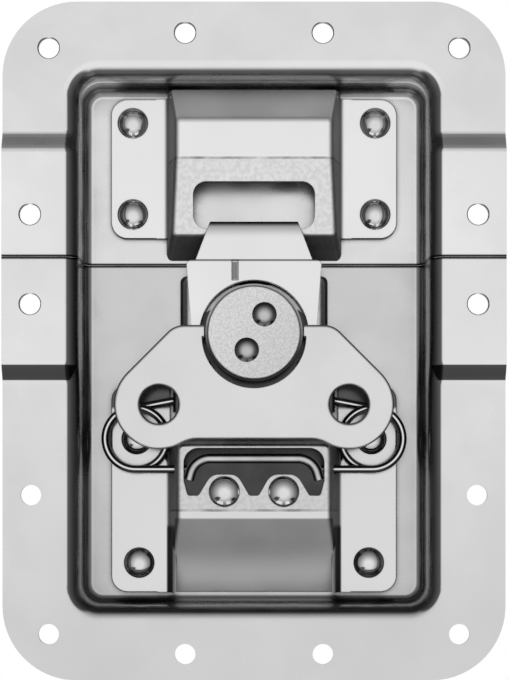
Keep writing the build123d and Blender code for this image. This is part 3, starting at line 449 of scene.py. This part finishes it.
def saddle_plate(name, base):
    """The saddle: a plate painted dark as painted shade, with a painted highlight along the top
    of its rib.
    """
    finish = Finish(name, base, 0.22)
    # the flat plate is painted dark as painted shade, and the top of the rib gets a painted
    # highlight
    finish.shade(finish.spread(finish.z, SADDLE_FLAT + 0.3 * MM, SADDLE_FLAT + 1.2 * MM, 0.11, 1))
    finish.shade(finish.spread(finish.level, 0.8, 1.0, 0.2, 0.9))
    finish.clouds(120, 0.15)
    finish.bump(finish.noise(160, 3), 0.2, 0.05 * MM)
    return finish


def blasted_cap(name, base):
    """The hub's cap: a fine blasted face, painted lighter to one side and darker to the other,
    and a painted dark edge.
    """
    finish = Finish(name, base, 0.4)
    finish.clouds(2000, 0.12, detail=3)
    finish.bump(finish.noise(1400, 3), 0.3, 0.05 * MM)
    # painted light and shade: lighter to one side, darker to the other
    slantwise = finish.math("SUBTRACT", finish.x, finish.y)
    finish.shade(finish.spread(slantwise, -HUB_Y - 13.8 * MM, -HUB_Y + 16.2 * MM, 1.04, 0.93))
    # a painted dark edge as painted shade
    finish.shade(finish.spread(finish.level, 0.6, 0.97, 0.4, 1))
    finish.painted_occlusion_shade(0.8 * MM, 0.35)
    return finish


RIVET = bright_steel("rivet_steel", 0.72, 0.05)
CAP_RIVET = bright_steel("cap_rivet_steel", 0.5, 0.08, rim_tone=0.3)
# parts below the hook and the hub, painted dark as painted shade
SHADED_INNER = inner_steel("inner_steel", 0.07)

FINISHES = {
    "base_dish": base_dish_sheet("base_dish_zinc", 0.75),
    "lid_dish": dish_sheet("lid_dish_zinc", 0.80, floor_tone=0.98),
    "latch_body": body_sheet("body_zinc", 0.70),
    "keeper": keeper_sheet("keeper_zinc", 0.82),
    "wing": wing_sheet("wing_zinc", 0.73),
    "hook": hook_sheet("hook_zinc", 0.80),
    "hub_cap": blasted_cap("cap_zinc", 0.74),
    "hub": hub_steel("hub_steel", 0.42),
    "draw_spring": spring_wire("spring_wire", 0.85),
    "spring_saddle": saddle_plate("saddle_steel", 0.6),
}


def dress_nodes():
    """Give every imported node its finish."""
    for name, node in NODES.items():
        if name.startswith("cap_rivet"):
            finish = CAP_RIVET
        elif "rivet" in name:
            finish = RIVET
        else:
            finish = FINISHES.get(name, SHADED_INNER)
        node.data.materials.clear()
        node.data.materials.append(finish.material)


dress_nodes()

# ------------------------------------------------------------------ room

FLOOR_SIZE = 6.0
FLOOR_Z = CAD_BOX[0][Z]


def paper_floor():
    """A plain pale floor that shows white and keeps a soft shadow."""
    bpy.ops.object.select_all(action="DESELECT")
    bpy.ops.mesh.primitive_plane_add(size=FLOOR_SIZE, location=(0, 0, FLOOR_Z))
    floor = bpy.context.object
    floor.name = "paper_floor"
    material = bpy.data.materials.new("paper")
    material.use_nodes = True
    nodes = material.node_tree.nodes
    links = material.node_tree.links
    nodes.clear()
    out = nodes.new("ShaderNodeOutputMaterial")
    mix = nodes.new("ShaderNodeMixShader")
    paper = nodes.new("ShaderNodeBsdfDiffuse")
    paper.inputs["Color"].default_value = (0.8, 0.8, 0.8, 1)
    white = nodes.new("ShaderNodeEmission")
    path = nodes.new("ShaderNodeLightPath")
    seen = nodes.new("ShaderNodeMath")
    seen.operation = "MAXIMUM"
    links.new(path.outputs["Is Camera Ray"], seen.inputs[0])
    links.new(path.outputs["Is Glossy Ray"], seen.inputs[1])
    links.new(seen.outputs[0], mix.inputs["Fac"])
    links.new(paper.outputs[0], mix.inputs[1])
    links.new(white.outputs[0], mix.inputs[2])
    links.new(mix.outputs[0], out.inputs["Surface"])
    floor.data.materials.append(material)


class Tent:
    """The world's light: a bright ceiling, dim walls, windows and dark boards."""

    # brightness by height, from the floor's level (0) up to straight above (1)
    HEIGHTS = (
        (0.0, 0.05),
        (0.26, 0.2),
        (0.5, 0.35),
        (0.72, 0.6),
        (0.87, 0.93),
        (0.94, 1.0),
        (1.0, 0.97),
    )
    CEILING_LEAN = math.radians(-12)
    # each on the base end's side: centre and half width across, lowest and highest
    # place up, all for a wall one metre away
    WINDOWS = ((-0.42, 0.3, 0.15, 0.6), (0.36, 0.2, 0.12, 0.6))
    BOARDS = ((-1.1, 0.45, 0.5, 1.5), (1.3, 0.45, 0.1, 0.9))
    BOARD_DARKNESS = 0.85

    def __init__(self):
        world = bpy.data.worlds.new("light_tent")
        bpy.context.scene.world = world
        world.use_nodes = True
        self.tree = world.node_tree
        self.tree.nodes.clear()
        place = self.tree.nodes.new("ShaderNodeTexCoord")
        split = self.tree.nodes.new("ShaderNodeSeparateXYZ")
        self.tree.links.new(place.outputs["Generated"], split.inputs[0])
        self.x, self.y, self.z = split.outputs

    def math(self, operation, *values):
        node = self.tree.nodes.new("ShaderNodeMath")
        node.operation = operation
        for socket, value in zip(node.inputs, values):
            if isinstance(value, (int, float)):
                socket.default_value = value
            else:
                self.tree.links.new(value, socket)
        return node.outputs[0]

    def ceiling(self):
        """Brightness by height, leaning towards the base end."""
        height = self.math(
            "ADD",
            self.math("MULTIPLY", self.z, math.cos(self.CEILING_LEAN)),
            self.math("MULTIPLY", self.y, math.sin(self.CEILING_LEAN)),
        )
        ramp = self.tree.nodes.new("ShaderNodeValToRGB")
        stops = ramp.color_ramp
        stops.interpolation = "B_SPLINE"
        for share, _ in self.HEIGHTS[1:-1]:
            stops.elements.new(share)
        for stop, (_, value) in zip(stops.elements, self.HEIGHTS):
            stop.color = (value, value, value, 1)
        self.tree.links.new(height, ramp.inputs["Fac"])
        return ramp.outputs["Color"]

    def pane(self, centre, half_width, low, high):
        """1 inside a rectangle on the wall at the base end, 0 outside."""
        depth = self.math("MAXIMUM", self.math("MULTIPLY", self.y, -1.0), 0.001)
        across = self.math("DIVIDE", self.x, depth)
        up = self.math("DIVIDE", self.z, depth)
        off = self.math("ABSOLUTE", self.math("SUBTRACT", across, centre))
        inside = self.math("LESS_THAN", off, half_width)
        for operation, limit in (("GREATER_THAN", low), ("LESS_THAN", high)):
            inside = self.math("MULTIPLY", inside, self.math(operation, up, limit))
        return inside

    def light(self):
        """Light the room by the tent, and show it white to the camera."""
        strength = self.ceiling()
        for window in self.WINDOWS:
            strength = self.math("MAXIMUM", strength, self.pane(*window))
        for board in self.BOARDS:
            shade = self.math("MULTIPLY", self.pane(*board), self.BOARD_DARKNESS)
            strength = self.math("MULTIPLY", strength, self.math("SUBTRACT", 1.0, shade))
        out = self.tree.nodes.new("ShaderNodeOutputWorld")
        mix = self.tree.nodes.new("ShaderNodeMixShader")
        path = self.tree.nodes.new("ShaderNodeLightPath")
        dome = self.tree.nodes.new("ShaderNodeBackground")
        white = self.tree.nodes.new("ShaderNodeBackground")
        for background in (dome, white):
            background.inputs["Color"].default_value = (1, 1, 1, 1)
        self.tree.links.new(strength, dome.inputs["Strength"])
        self.tree.links.new(path.outputs["Is Camera Ray"], mix.inputs["Fac"])
        self.tree.links.new(dome.outputs[0], mix.inputs[1])
        self.tree.links.new(white.outputs[0], mix.inputs[2])
        self.tree.links.new(mix.outputs[0], out.inputs["Surface"])


paper_floor()
Tent().light()

# ------------------------------------------------------------------ camera

# straight above the saddle, shifted up the frame to take in the whole dish
VIEW_Y = -40.4 * MM
VIEW_HEIGHT = 421.2 * MM
LENS = 88.07
FILM_WIDTH = 36
SHIFT_Y = 0.2368
NEAREST = 10 * MM


def place_camera():
    """Look straight down at the latch."""
    lens = bpy.data.cameras.new("view")
    lens.lens = LENS
    lens.sensor_width = FILM_WIDTH
    lens.shift_y = SHIFT_Y
    lens.clip_start = NEAREST
    camera = bpy.data.objects.new("view", lens)
    camera.location = (0, VIEW_Y, VIEW_HEIGHT)
    scene = bpy.context.scene
    scene.collection.objects.link(camera)
    scene.camera = camera
    scene.view_settings.view_transform = "Standard"


place_camera()
